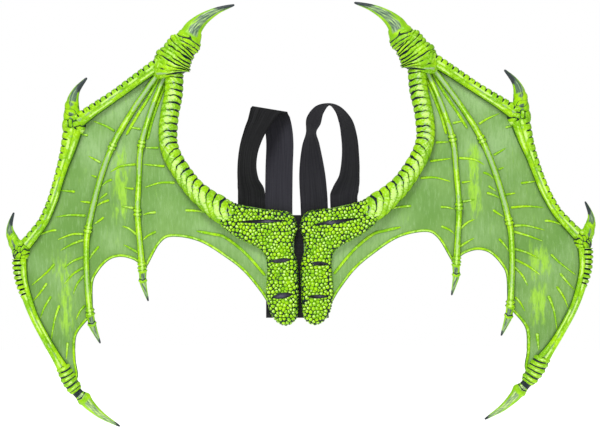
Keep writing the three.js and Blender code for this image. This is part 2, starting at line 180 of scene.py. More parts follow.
def addLimb(bm, stations, rise, relief, back=wings["limbBack"], belly=0.0, flatDepth=2.7, spacing=0.8,
            columns=56, ends=(1, 1)):
    # a domed section swept along a line; relief gives its height and its paint
    s, at, tangent, width = lineThrough(stations, spacing)
    length = s[-1]
    front = round(columns * 0.8)  # most columns go to the front, which shows
    turn = np.linspace(-math.pi / 2, math.pi / 2, front + 1)
    if belly:
        rear = np.linspace(math.pi / 2, 1.5 * math.pi, columns - front + 1)[1:]
        sideways = np.concatenate([np.sin(turn), np.sin(rear)])
        dome = np.concatenate([np.cos(turn), np.cos(rear)])
    else:
        rear = np.linspace(0.93, -0.93, columns - front)
        sideways = np.concatenate([np.sin(turn), rear, [-1.0]])
        dome = np.concatenate([np.cos(turn), np.full(len(rear), -1.0), [0.0]])
    S, W = s[:, None], width[:, None]
    side, up = sideways[None, :], dome[None, :]
    made = relief(S, side, W, length)
    height = made.get("height", 0.0) * (up >= 0)
    ease = np.ones_like(S)
    for end, distance in ((0, S), (1, length - S)):
        if ends[end]:
            reach = np.minimum(W / 2 * ends[end], length / 3)
            ease = ease * np.sqrt(np.clip(1 - (1 - np.clip(distance / reach, 0, 1)) ** 2, 0, 1))
        else:
            ease = ease * (distance > 0)  # a blunt end, hidden in its neighbour
    half, tall = W / 2, W * rise
    deep = W * belly if belly else flatDepth
    normalSide, normalOut = side / half, np.maximum(up, 0) / tall
    norm = np.sqrt(normalSide**2 + normalOut**2) + 1e-9
    swell = ease * np.ones_like(side)
    across = (side * half + height * normalSide / norm) * swell
    out = np.where(up >= 0, up * tall + height * normalOut / norm, up * deep) * swell
    points = np.empty((len(s), len(sideways), 3))
    points[:, :, 0] = at[:, 0:1] + tangent[:, 1:2] * across
    points[:, :, 1] = at[:, 1:2] - tangent[:, 0:1] * across
    points[:, :, 2] = back + out
    values = {mark: made.get(mark, 0.0) * np.ones_like(across) for mark in ("groove", "glow", "tip", "tone")}
    values["groove"] = values["groove"] * (up >= 0)
    values["along"] = S * np.ones_like(across)
    values["side"] = side * np.ones_like(across)
    addGrid(bm, points, values)


def reachTo(points, line, closed=False):
    # the distance from each point to a line, and the nearest place on it
    starts = np.array(line, float)
    stops = np.roll(starts, -1, axis=0)
    if not closed:
        starts, stops = starts[:-1], stops[:-1]
    best = np.full(len(points), 1e9)
    nearest = np.zeros((len(points), 2))
    for a, b in zip(starts, stops):
        along = b - a
        t = np.clip(((points - a) @ along) / max(along @ along, 1e-9), 0, 1)
        foot = a + t[:, None] * along
        away = np.linalg.norm(points - foot, axis=1)
        closer = away < best
        best[closer] = away[closer]
        nearest[closer] = foot[closer]
    return best, nearest


def insideOf(points, outline):
    x, y = points[:, 0], points[:, 1]
    inside = np.zeros(len(points), bool)
    previous = outline[-1]
    for current in outline:
        crosses = (current[1] > y) != (previous[1] > y)
        with np.errstate(divide="ignore", invalid="ignore"):
            at = (previous[0] - current[0]) * (y - current[1]) / (previous[1] - current[1]) + current[0]
        inside ^= crosses & (x < at)
        previous = current
    return inside


def outlineOf(runs, spacing=1.5):
    points = []
    for run in runs:
        stations = [(x, y, 0) for x, y in run]
        points.append(lineThrough(stations, spacing)[1][:-1])
    return np.concatenate(points)


def addSlab(bm, outline, holes, cell, shape):
    # a grid trimmed to an outline and its holes, then given a front, a rear and walls
    low, high = outline.min(axis=0) - cell, outline.max(axis=0) + cell
    counts = np.ceil((high - low) / cell).astype(int)
    made = bmesh.ops.create_grid(bm, x_segments=int(counts[0]), y_segments=int(counts[1]), size=1.0)["verts"]
    xs, ys = np.meshgrid(low[0] + np.arange(counts[0] + 1) * cell, low[1] + np.arange(counts[1] + 1) * cell)
    for vert, x, y in zip(made, xs.reshape(-1).tolist(), ys.reshape(-1).tolist()):
        vert.co = (x, y, 0)
    faces = [face for face in bm.faces if face.verts[0].co.z == 0 and not face.tag]
    centres = np.array([face.calc_center_median()[:2] for face in faces])
    keep = insideOf(centres, outline)
    for hole in holes:
        keep &= ~insideOf(centres, hole)
    bmesh.ops.delete(bm, geom=[face for face, kept in zip(faces, keep) if not kept], context="FACES")
    while True:  # no vertex may join the slab only by a corner
        corners = [v for v in bm.verts if not v.tag and sum(e.is_boundary for e in v.link_edges) > 2]
        spikes = [f for f in bm.faces if not f.tag and sum(e.is_boundary for e in f.edges) > 2]
        spare = {v.link_faces[0] for v in corners} | set(spikes)
        if not spare:
            break
        bmesh.ops.delete(bm, geom=list(spare), context="FACES")
    flat = [v for v in bm.verts if not v.tag]
    rim = [v for v in flat if v.is_boundary]
    rimPlaces = np.array([v.co[:2] for v in rim])
    best, nearest = reachTo(rimPlaces, outline, True)
    for hole in holes:
        away, foot = reachTo(rimPlaces, hole, True)
        nearest[away < best] = foot[away < best]
        best = np.minimum(best, away)
    for vert, place in zip(rim, nearest.tolist()):
        vert.co = (place[0], place[1], 0)
    rimSet = set(rim)
    ring = [v for v in flat if v not in rimSet and any(e.other_vert(v) in rimSet for e in v.link_edges)]
    bmesh.ops.smooth_vert(bm, verts=ring, factor=0.5, use_axis_x=True, use_axis_y=True, use_axis_z=True)
    grown = bmesh.ops.extrude_face_region(bm, geom=[f for f in bm.faces if not f.tag])["geom"]
    fronts = [v for v in grown if isinstance(v, bmesh.types.BMVert)]
    frontSet = set(fronts)
    rears = [v for v in bm.verts if not v.tag and v not in frontSet]
    for verts, isFront in ((fronts, True), (rears, False)):
        places = np.array([v.co[:2] for v in verts])
        height, values = shape(places, isFront)
        for vert, out in zip(verts, np.broadcast_to(height, (len(verts),)).tolist()):
            vert.co.z = out
        setMarks(bm, verts, values)
    for element in list(bm.verts) + list(bm.faces):
        element.tag = True


def finishPiece(bm, side, name, finish, sharp=50):
    bmesh.ops.recalc_face_normals(bm, faces=bm.faces)
    if side:
        for vert, place in zip(bm.verts, ontoWing(side, [v.co[:] for v in bm.verts]).tolist()):
            vert.co = place
        bmesh.ops.recalc_face_normals(bm, faces=bm.faces)  # the left wing is mirrored
    limit = math.radians(sharp)
    for face in bm.faces:
        face.smooth = True
    for edge in bm.edges:
        if len(edge.link_faces) == 2 and edge.calc_face_angle(0) > limit:
            edge.smooth = False
    mesh = bpy.data.meshes.new(name)
    bm.to_mesh(mesh)
    bm.free()
    mesh.materials.append(finish)
    piece = bpy.data.objects.new(name, mesh)
    bpy.context.collection.objects.link(piece)
    return piece


class Wire:  # an output socket that takes sums
    def __init__(self, finish, socket):
        self.finish, self.socket = finish, socket

    def math(self, operation, other, turned=False):
        first, second = (other, self) if turned else (self, other)
        return self.finish.add("ShaderNodeMath", {"operation": operation}, {0: first, 1: second})

    def __add__(self, other):
        return self.math("ADD", other)

    def __sub__(self, other):
        return self.math("SUBTRACT", other)

    def __mul__(self, other):
        return self.math("MULTIPLY", other)

    def __rsub__(self, other):
        return self.math("SUBTRACT", other, True)

    __radd__, __rmul__ = __add__, __mul__

    def between(self, low, high):
        values = {"Value": self, "From Min": low, "From Max": high}
        return self.finish.add("ShaderNodeMapRange", {"interpolation_type": "SMOOTHSTEP"}, values)


class Finish:
    def __init__(self, name):
        self.material = bpy.data.materials.new(name)
        self.material.use_nodes = True
        self.tree = self.material.node_tree
        self.surface = self.tree.nodes["Principled BSDF"]

    def add(self, kind, settings=None, values=None, output=0):
        node = self.tree.nodes.new(kind)
        for key, value in (settings or {}).items():
            setattr(node, key, value)
        for key, value in (values or {}).items():
            self.give(node.inputs[key], value)
        return Wire(self, node.outputs[output])

    def give(self, socket, value):
        if isinstance(value, Wire):
            self.tree.links.new(value.socket, socket)
        else:
            socket.default_value = value

    def mark(self, name):
        return self.add("ShaderNodeAttribute", {"attribute_name": name}, output=2)

    def raggedMark(self, name, scale, amount):
        # a mark with a ragged edge
        return self.mark(name) + (self.grain(scale, 2) - 0.5) * amount

    def wave(self, distance, pitch):
        return self.add("ShaderNodeMath", {"operation": "SINE"}, {0: distance * (2 * math.pi / pitch)})

    def place(self, stretch=(1, 1, 1)):
        at = self.add("ShaderNodeTexCoord", output=3)
        return self.add("ShaderNodeMapping", {}, {"Vector": at, "Scale": stretch})

    def grain(self, scale, detail=2.0, stretch=(1, 1, 1), rough=0.5):
        values = {"Vector": self.place(stretch), "Scale": scale, "Detail": detail, "Roughness": rough}
        return self.add("ShaderNodeTexNoise", {}, values)

    def mix(self, factor, first, second):
        return self.add("ShaderNodeMix", {"data_type": "RGBA"}, {0: factor, 6: first, 7: second}, 2)

    def bump(self, height, distance, strength=1.0):
        values = {"Height": height, "Distance": distance, "Strength": strength}
        self.give(self.surface.inputs["Normal"], self.add("ShaderNodeBump", {}, values))

    def set(self, **values):
        for key, value in values.items():
            self.give(self.surface.inputs[key.replace("_", " ")], value)

    def foam(self, colour, fine, rough=(0.15, 0.42), specular=0.2, bump=(0.00025, 0.6)):
        # painted foam with a fine grain
        self.set(Base_Color=colour, Roughness=fine * rough[0] + rough[1], Specular_IOR_Level=specular)
        self.bump(fine + self.grain(1500, 1) * 0.5, *bump)
        return self.material


studio = {"gain": 0.80}  # how bright a white card facing the camera is left by the lights


def paint(red, green, blue):
    def linear(value):
        value = max(value, 0) / 255
        return value / 12.92 if value <= 0.04045 else ((value + 0.055) / 1.055) ** 2.4

    return tuple(linear(value) * studio["gain"] for value in (red, green, blue)) + (1,)


greens = {
    "lime": paint(174, 232, 0),
    "deepLime": paint(136, 202, 0),
    "wash": paint(166, 200, 140),
    # pale is used for pale paint and for painted highlights
    "pale": paint(216, 255, 140),
    "ink": paint(20, 38, 44),
    # moss is used for dark paint and for painted shade
    "moss": paint(58, 104, 22),
    "horn": paint(140, 172, 122),
    "hornDark": paint(84, 110, 90),
    "hornTip": paint(50, 60, 62),
    "skin": paint(134, 176, 96),
    "skinDeep": paint(112, 158, 74),
    "skinPale": paint(158, 196, 130),
    "skinLime": paint(166, 222, 66),
}


def makeLimbFoam():
    f = Finish("limb foam")
    coarse, fine, brush = f.grain(45, 3), f.grain(420, 2), f.grain(330, 3)
    colour = f.mix(coarse.between(0.35, 0.68), greens["deepLime"], greens["lime"])
    colour = f.mix(brush.between(0.52, 0.7) * 0.4, colour, greens["pale"])
    colour = f.mix((1 - brush).between(0.55, 0.72) * 0.4, colour, greens["moss"])
    # glow is a painted highlight on the raised tops of the rings, ridges, collars and folds, broken up by the
    # brush grain
    glow = (f.mark("glow") + (brush - 0.5) * 0.9).between(0.25, 0.8)
    colour = f.mix(glow * 0.9, colour, greens["pale"])
    wash = (f.mark("tone") + (brush - 0.5) * 0.8).between(0.25, 0.85)
    colour = f.mix(wash, colour, greens["wash"])
    # tip is painted shade along the limbs' edges where they meet the skin, beside creases and round the foot
    # of each knuckle
    colour = f.mix(f.mark("tip").between(0.15, 0.8), colour, greens["moss"])
    colour = f.mix(f.raggedMark("groove", 300, 0.35).between(0.32, 0.62), colour, greens["ink"])
    return f.foam(colour, fine)


def makeScaledFoam():
    f = Finish("scaled foam")
    coarse, fine = f.grain(60, 3), f.grain(420, 2)
    colour = f.mix(coarse.between(0.35, 0.65), greens["deepLime"], greens["lime"])
    # glow is a painted highlight on each scale, set off to the side the lamp comes from
    glow = (f.mark("glow") * f.grain(330, 2).between(0.2, 0.55)).between(0.25, 0.85)
    colour = f.mix(glow, colour, greens["pale"])
    # tip is dark green paint in the gaps between scales, and painted shade on the plate's rear and walls
    colour = f.mix(f.mark("tip").between(0.15, 0.9) * 0.85, colour, greens["moss"])
    colour = f.mix(f.raggedMark("groove", 260, 0.5).between(0.38, 0.62), colour, greens["ink"])
    return f.foam(colour, fine)


def makeClawFoam():
    f = Finish("claw foam")
    fine = f.grain(420, 2)
    rim = f.mark("side")
    rim = (rim * rim).between(0.3, 0.62)
    streak = f.mark("glow")
    horn = f.mix(streak.between(0.35, 0.62), greens["hornDark"], greens["horn"])
    horn = f.mix(streak.between(0.66, 0.95) * 0.8, horn, greens["pale"])
    lime = f.mix(f.grain(70, 2).between(0.3, 0.7), greens["deepLime"], greens["lime"])
    colour = f.mix(rim, horn, lime)
    colour = f.mix(f.mark("tone").between(0.2, 0.8), colour, lime)
    colour = f.mix(f.raggedMark("tip", 200, 0.3).between(0.35, 0.75), colour, greens["hornTip"])
    colour = f.mix(f.raggedMark("groove", 300, 0.35).between(0.35, 0.65), colour, greens["ink"])
    return f.foam(colour, fine, (0.12, 0.36), 0.25, (0.0002, 0.5))


def makeSkinFoam():
    f = Finish("skin foam")
    broad, fine = f.grain(14, 3), f.grain(900, 2)
    colour = f.mix(broad.between(0.3, 0.7), greens["skinDeep"], greens["skin"])
    colour = f.mix(f.mark("glow").between(0.1, 1.0), colour, greens["skinPale"])
    tone = f.mark("tone")
    streak = f.grain(110, 4, (1.6, 1, 0.4), 0.62) + (tone - 0.6) * 0.3
    colour = f.mix(streak.between(0.46, 0.66) * tone, colour, greens["skinLime"])
    brush = f.grain(240, 3, (1.6, 1, 0.3), 0.65)
    colour = f.mix(brush.between(0.42, 0.75) * 0.5, colour, greens["skinDeep"])
    colour = f.mix((1 - brush).between(0.5, 0.75) * 0.5, colour, greens["skinPale"])
    # groove on the skin is painted shade beside the limbs, veins and creases and along the outline
    colour = f.mix(f.raggedMark("groove", 120, 0.2).between(0.15, 0.85), colour, greens["moss"])
    f.set(Base_Color=colour, Roughness=0.55, Specular_IOR_Level=0.2)
    f.bump(fine + f.grain(2600, 1) * 0.6 + brush * 0.8, 0.0003, 0.7)
    return f.material


blacks = {
    "web": paint(4, 4, 5),
    "webWorn": paint(50, 50, 52),
    "webLit": paint(98, 96, 112),  # where the light rakes across a face
    "thread": paint(20, 20, 22),
    "threadLit": paint(44, 44, 48),
}


def makeWebbing():
    f = Finish("elastic webbing")
    side, along = f.mark("side"), f.mark("along")
    cloth = f.wave(side, 1.3) * 0.5 + f.wave(along, 0.9) * 0.25  # ribs, and the picks across them
    fuzz = f.grain(1800, 2)
    lay = f.add("ShaderNodeCombineXYZ", {}, {"X": side * 0.55, "Y": along * 0.012})
    streak = f.add("ShaderNodeTexNoise", {}, {"Vector": lay, "Scale": 1.0, "Detail": 2.0})
    wear = (cloth * 0.22 + fuzz * 0.3 + streak * 0.9).between(0.2, 1.1)
    colour = f.mix(wear, blacks["web"], blacks["webWorn"])
    colour = f.mix(f.mark("tone"), colour, blacks["webLit"])
    f.set(Base_Color=colour, Roughness=0.9, Sheen_Weight=0.02, Sheen_Roughness=0.4, Specular_IOR_Level=0.12)
    f.bump(cloth + fuzz * 0.5, 0.00018, 0.8)
    return f.material


def makeThread():
    f = Finish("stitching")
    twist = f.grain(2600, 2)
    f.set(Base_Color=f.mix(twist.between(0.3, 0.7), blacks["thread"], blacks["threadLit"]), Roughness=0.6)
    f.bump(twist, 0.0001, 0.6)
    return f.material


limbFoam, scaledFoam, clawFoam = makeLimbFoam(), makeScaledFoam(), makeClawFoam()
skinFoam, elasticWebbing, stitching = makeSkinFoam(), makeWebbing(), makeThread()
print("materials ready")

armLine = [
    [182.3, 285, 25], [182.5, 277.6, 25], [183.8, 251.6, 25], [188.6, 227.5, 25.3], [191.5, 203.2, 26],
    [191, 182, 25], [185, 162.5, 25], [173.7, 143, 25], [154.2, 116.6, 26.5],
    [132.6, 97.2, 31], [117, 86, 36], [96, 70, 30],
]
arm = {"pitch": 8.8, "pitchGrowth": 2.2, "sweep": 30.0, "plump": 2.2, "lip": 1.3}


def armRings(s, side, width, length):
    q = (1 - side) / 2  # 0 on the body's edge, 1 on the skin's edge
    low = s / length
    sweep = 1 + arm["sweep"] * low**1.5
    pitch = arm["pitch"] + arm["pitchGrowth"] * low
    flow = s - sweep * q**1.9 + 1.8 * np.cos(side * math.pi / 2)
    flow = flow + 1.3 * wander(s, side * 12, 4, 26) + 0.5 * wander(s, side * 14, 14, 9)
    part, away, ring, crease = ringsAlong(flow, pitch, 40)
    fade = 1 - smooth(q, 0.58, 0.86) * (1 - 0.35 * smooth(low, 0.35, 0.7))  # rings die out towards the skin
    strength = perItem(crease, 11, 0.72, 1.15)
    plump = bulge(part)
    split = hump(q, 0.1 + 0.5 * perItem(ring, 5), 0.05) * (perItem(ring, 6) > 0.6)
    lip = arm["lip"] * hump(q, 0.88, 0.09) * (1 - 0.5 * smooth(low, 0.4, 0.8))
    height = arm["plump"] * plump * fade + lip
    height = height - 0.5 * split * fade
    rough = wander(s, side * 15, 24, 5)
    thick = 0.95 + 1.1 * (1 - smooth(q, 0.0, 0.45)) + 0.4 * rough
    ink = hump(away, 0, thick) * fade * strength * (1 - 0.35 * smooth(q, 0.4, 0.8))
    window = hump(q, 0.5 + 0.1 * low, 0.24 + 0.1 * low)
    shine = plump * window * perItem(ring, 12, 0.5, 1.3) * (0.8 + 0.35 * rough)
    wash = hump(away, 2.0, 1.6) * hump(q, 0.45, 0.24)
    wash = wash * perItem(crease, 13, 0.2, 1.2) * smooth(rough, -0.7, 0.4)
    shadow = hump(q, 1.02, 0.05) * 0.7 + hump(away, 0, 1.8) * 0.5 * (1 - fade * 0.4)
    return {"height": height, "groove": ink, "glow": shine, "tip": shadow, "tone": wash}


wristLine = [
    [185.5, 277, 38], [187, 287, 50], [184, 299, 52.5], [175, 315, 43.5], [165, 328, 37], [162, 333, 34],
]
wrist = {"pitch": 6.0, "plump": 2.9, "start": 1.5}


def wristBands(s, side, width, length):
    # side is -1 on the body's edge and 1 on the skin's edge
    corner = (1 - side) * width / 2 * 1.2 + 2.5
    low = smooth(side, 0.35, 0.75) * (1 - smooth(s, 18, 24))
    slant = s - 1.5 * side + 1.2 * np.cos(side * 2) + 1.0 * wander(s, side * 16, 21, 26)
    flow = low * np.minimum(s + wrist["start"], corner + 1.0) + (1 - low) * (slant + wrist["start"])
    flow = flow + 0.55 * wander(s, side * 16, 22, 8)
    part, away, ring, crease = ringsAlong(flow, wrist["pitch"], 20)
    plump = bulge(part)
    patch = smooth(wander(side * 18 + crease * 7, s, 33, 16), -0.3, 0.5)
    inner = 1 - smooth(side, -0.75, 0.25)
    strength = np.clip(0.35 + 0.65 * inner + 0.5 * patch, 0, 1.15) * perItem(crease, 3, 0.75, 1.15)
    height = wrist["plump"] * plump * (0.75 + 0.4 * perItem(ring, 8)) + 0.9 * wander(s, side * 20, 7, 13)
    height = height + 1.6 * (perItem(ring, 18) - 0.5) * smooth(np.abs(side), 0.5, 0.9)
    shine = plump**2 * smooth(wander(s * 1.4, side * 14, 9, 13), 0.1, 0.8) * 0.5
    ink = hump(away, 0, 0.75 + 0.65 * inner + 0.4 * patch) * strength
    ink = ink * (1 - 0.95 * low * smooth(side, -0.2, 0.4))
    shadow = hump(np.abs(side), 1.02, 0.07) * 0.5
    wash = 0.9 * hump(flow, 8.0, 1.4) * smooth(s, 3, 6)  # one paler band
    wash = wash * smooth(side, -0.3, 0.3) * (1 - smooth(side, 0.7, 0.85))
    return {"height": height, "groove": ink, "glow": shine, "tip": shadow, "tone": wash}


def leadingBone(strength, inkTo, firstNotch, pitch, reachIn, cut, swell):
    # two ridges with a groove between them, and notches cut in from the leading edge
    def relief(s, side, width, length):
        part, away, _, crease = ringsAlong(s - firstNotch, pitch, 30)
        here = strength * (1 - smooth(s / length, inkTo - 0.06, inkTo))
        outer = 1 - smooth(side, reachIn - 0.3, reachIn + 0.3 * perItem(crease, 17))
        notch = hump(away, 0, cut) * outer * here * perItem(crease, 15, 0.8, 1.2)
        between = hump((part - 0.5) * pitch, 0, 0.6) * (perItem(crease, 19) > 0.55)
        notch = notch + between * outer * here * 0.6
        height = 1.5 * hump(side, -0.55, 0.33) + 1.1 * hump(side, 0.6, 0.26) - 1.3 * notch
        height = height - hump(side, 0.12, 0.12) + swell * bulge(part) * outer * here
        shine = 0.9 * hump(side, -0.06, 0.2) * smooth(wander(s, side * 3, 23, 24), -0.7, 0.5)
        shine = shine + 0.8 * hump(side, 0.52, 0.14) * smooth(wander(s + 40, side * 3, 27, 30), -0.5, 0.5)
        # painted shade along both edges where the bone meets the skin and beside the groove between the
        # ridges
        edgeAndCreaseShade = hump(side, 0.2, 0.06) * 0.6 + hump(side, 0.96, 0.08) + hump(side, -1.03, 0.06) * 0.7
        wash = 0.75 * hump(side, 0.1, 0.24) * smooth(wander(s, side * 6, 29, 13), -0.5, 0.6)
        return {"height": height, "groove": notch, "glow": shine, "tip": edgeAndCreaseShade, "tone": wash}

    return relief


def collars(places, thick, tall):
    # swollen collars with a crack on either side
    def relief(s, side, width, length):
        height, groove, glow = [np.zeros_like(s * side) for _ in range(3)]
        for number, place in enumerate(places):
            bend = place + 0.6 * np.cos(side * 2.2) + 0.5 * wander(side * 6, number * 9.0, 41, 9)
            height += tall * hump(s, bend, thick)
            # a painted highlight on top of each collar
            glow += 0.8 * hump(s, bend, thick * 0.55) * hump(side, 0.05, 0.45)
            for edge in (-1, 1):
                crack = hump(s, bend + edge * thick * 1.35, 0.75)
                groove += crack * (0.75 + 0.25 * perItem(number * 2 + edge + 2, 43))
        return {"height": height, "groove": np.clip(groove, 0, 1.1), "glow": glow}

    return relief


def fingerRib(joints, seed):
    # a thin rib with a pale middle that is partly paler paint and partly a painted highlight, a dark rim of
    # painted shade where it meets the skin, and a pair of folds at each joint
    def relief(s, side, width, length):
        height = -0.5 * hump(side, 0.05, 0.3)
        groove = np.zeros_like(s * side)
        glow = hump(side, 0.1, 0.34) * (0.62 + 0.4 * smooth(wander(s, side * 2, seed, 46), -0.6, 0.5))
        rim = hump(np.abs(side), 1.0, 0.1) * 0.9 + 0.5 * hump(side, 0.5, 0.07)
        pale = smooth(side, -0.55, -0.25) * (1 - smooth(side, 0.5, 0.75)) * (1.05 - 0.55 * s / length)
        pale = pale * smooth(wander(s, side * 3, seed + 1, 60), -0.7, 0.1)
        for place in joints:
            bend = place + 0.7 * np.cos(side * 2)
            for offset, tall in ((-3.0, 2.0), (2.6, 2.2)):
                height = height + tall * hump(s, bend + offset, 1.7)
            for offset in (-5.8, -0.2, 5.2):
                groove = groove + 0.62 * hump(s, bend + offset, 0.65)
            glow = glow * (1 - 0.6 * hump(s, place, 7)) + 0.7 * hump(side, 0.1, 0.3) * hump(s, place, 5)
            pale = pale * (1 - 0.8 * hump(s, place, 8))
        return {"height": height, "groove": groove, "glow": glow, "tip": rim, "tone": pale}

    return relief


def clawHorn(tipFrom, seed, collarAt=(), lump=None, limeTo=0.0, neck=None, dark=0.0, darkSide=1, limeSide=1):
    # streaked horn with a lime rim; darkSide is the edge along which the dark tip runs down
    rings = [(place, 2.0) for place in collarAt] + ([(lump, 4.2)] if lump else [])

    def relief(s, side, width, length):
        t = s / length
        height = (0.45 * wander(side * 9, s * 0.06, seed, 5) - 0.5 * hump(side, 0.1, 0.3)) * (1 - t)
        groove = np.zeros_like(s * side)
        tone = np.zeros_like(groove)
        for place, wide in rings:
            bend = place + 1.2 * np.cos(side * 2.2) + 0.6 * wander(side * 5, place, seed + 2, 7)
            height = height + 1.6 * hump(s, bend, wide)
            tone = tone + hump(s, bend, wide * 1.1)
            patchy = 0.75 + 0.45 * smooth(wander(side * 7, place * 3, seed + 5, 6), -0.6, 0.4)
            groove = groove + hump(s, bend - wide * 1.3, 1.0) * patchy
        streak = 0.52 - dark + 0.24 * wander(side * width * 0.9, s * 0.16, seed + 3, 4.5)
        streak = streak + 0.16 * wander(side * width * 2.2, s * 0.5, seed + 4, 5)
        if limeTo:
            base = 1 - smooth(s + 3 * streak, limeTo, limeTo + 7)
            folds = wander(side * 11, s, seed + 7, 12)
            bare = hump(side, 0.1, 0.45) * smooth(wander(side * 8, s, seed + 6, 11), -0.3, 0.5)
            tone = tone + 0.9 * base * (1 - 0.9 * bare)
            height = height + base * (1.1 * folds + 0.8 * bare)
            groove = groove + 0.75 * base * hump(folds, -0.25, 0.1)
        if neck:
            above, below = smooth(s, neck[0] - 1, neck[0] + 1), smooth(s, neck[1] - 1.5, neck[1] + 1.5)
            groove = groove + 0.8 * above * (1 - below)
            height = height - 1.2 * hump(s, sum(neck) / 2, 3.0)
        edge = smooth(limeSide * side + 0.25 * wander(side * 6, s, seed + 8, 17), 0.2, 0.55)
        tone = tone + (0.3 + 0.8 * streak) * edge * (1 - smooth(t, tipFrom - 0.25, tipFrom + 0.1))
        night = smooth(t, tipFrom, min(tipFrom + 0.3, 1.0))
        band = 0.6 + 0.7 * smooth(darkSide * side, -0.6, 0.7)
        tip = np.clip(night * band * (1.15 - 0.5 * streak) + smooth(t, 0.92, 1.0) * 0.8, 0, 1.2)
        return {"height": height, "groove": groove, "glow": streak, "tip": tip, "tone": tone}

    return relief


fingerClaw = dict(rise=0.5, claw=True, ends=(0.4, 1), spacing=0.6, columns=40)
knuckleClaw = dict(rise=0.5, claw=True, ends=(0.3, 1))
finger = dict(rise=0.8, ends=(0.5, 0.5), columns=40)
limbs = {  # a line holds across, up and width
    "upper_arm": dict(line=armLine, rise=0.56, relief=armRings, spacing=0.6, columns=76, ends=(0.4, 1)),
    "wrist": dict(line=wristLine, rise=0.4, relief=wristBands, spacing=0.55, columns=96, ends=(0.22, 0.3)),
    "wrist_claw": dict(
        line=[[167.5, 318.5, 35], [163, 328, 38.5], [157.5, 339.5, 33], [152.5, 350, 26],
              [139, 363, 18], [118, 375, 10], [93.7, 383, 2.4]],
        relief=clawHorn(tipFrom=0.58, seed=51, collarAt=(4.5, 10.5, 16.5), limeTo=22.0),
        rise=0.42, claw=True, ends=(0.15, 1), columns=72),
    "leading_bone_1": dict(
        line=[[196, 302, 20], [229, 279, 17.5], [267.9, 250.9, 16], [300, 229, 18], [322, 213, 22]],
        relief=leadingBone(
            strength=1.05, inkTo=1.1, firstNotch=4.0, pitch=9.6, reachIn=-0.15, cut=1.3, swell=0.9),
        rise=0.62, ends=(0, 0)),
    "leading_bone_2": dict(
        line=[[328, 203, 28], [332, 187, 26], [336, 171.6, 22], [343, 149.8, 17], [349.5, 128, 15],
              [358.2, 98.9, 15], [370.6, 69.8, 15], [383, 52, 16], [398, 33, 18]],
        relief=leadingBone(
            strength=1.0, inkTo=1.1, firstNotch=8.0, pitch=10.4, reachIn=-0.25, cut=1.25, swell=0.6),
        rise=0.58, ends=(0, 0)),
    "leading_bone_3": dict(
        line=[[406, 14, 21], [404, -13, 18], [398, -36, 15], [386, -69.8, 12.5],
              [368.8, -103, 12.5], [353, -130, 14], [343.5, -146, 17], [339, -154, 16]],
        relief=leadingBone(
            strength=1.3, inkTo=0.34, firstNotch=3.0, pitch=7.0, reachIn=0.3, cut=1.35, swell=1.6),
        rise=0.6, ends=(0, 0)),
    "knuckle_3": dict(
        line=[[345, -142, 17], [341.8, -148.5, 18.5], [335, -162, 20.5], [325.5, -177, 19],
              [323, -180.5, 18]],
        relief=collars(places=(4.5, 12.5, 20.0, 27.5, 36.0), thick=2.5, tall=1.7),
        rise=0.6, ends=(0.3, 0.3), spacing=0.6, columns=64),
    "tip_claw": dict(
        line=[[330.5, -170, 17.5], [325.5, -177, 15.5], [319.5, -184, 14.5], [311.5, -191.5, 18.5],
              [303, -201, 15.5], [286, -215.5, 10], [260.1, -230.6, 2.2]],
        relief=clawHorn(tipFrom=0.78, seed=61, lump=27.5, neck=(8.0, 19.0), dark=-0.2, limeSide=-1),
        rise=0.5, claw=True, ends=(0.4, 1), spacing=0.6),
    "knuckle_1_claw": dict(
        line=[[329.6, 214, 27], [330, 238, 20], [324, 258, 11], [308.4, 277, 2.4]],
        relief=clawHorn(tipFrom=0.5, seed=71, limeTo=26.0, dark=0.12, darkSide=-1), **knuckleClaw),
    "knuckle_2_claw": dict(
        line=[[409.5, 28, 21], [418.6, 47, 14.5], [420.5, 62, 8], [414.8, 81, 2.2]],
        relief=clawHorn(tipFrom=0.5, seed=81, limeTo=22.0, dark=0.12, darkSide=-1), **knuckleClaw),
    "inner_finger": dict(
        line=[[194, 283, 8], [212.8, 236, 8], [229.5, 179.2, 9], [233, 130, 8.5],
              [235, 79, 9], [231.5, 36, 9], [227.6, -7, 11]],
        relief=fingerRib(joints=(109.0, 209.0, 287.0), seed=91), **finger),
    "inner_claw": dict(
        line=[[227.8, -1, 10.5], [227.4, -7.6, 11], [226.4, -23, 9.5], [219.2, -48.5, 1.8]],
        relief=clawHorn(tipFrom=0.7, seed=95, collarAt=(4.0, 18.0), limeSide=-1), **fingerClaw),
    "middle_finger": dict(
        line=[[204, 284, 8.5], [242, 229, 8.5], [271.3, 177.7, 9.5], [292, 120, 9],
              [306.9, 56, 9.5], [309.5, 24.4, 9], [308.5, -20, 8.5], [303.5, -70, 10.5]],
        relief=fingerRib(joints=(127.0, 253.0, 374.0), seed=97), **finger),
    "middle_claw": dict(
        line=[[304.6, -64.5, 10.5], [303.2, -71, 11], [299.5, -86, 10.5], [289, -110, 1.8]],
        relief=clawHorn(tipFrom=0.7, seed=99, collarAt=(4.0, 18.0), limeSide=-1), **fingerClaw),
}


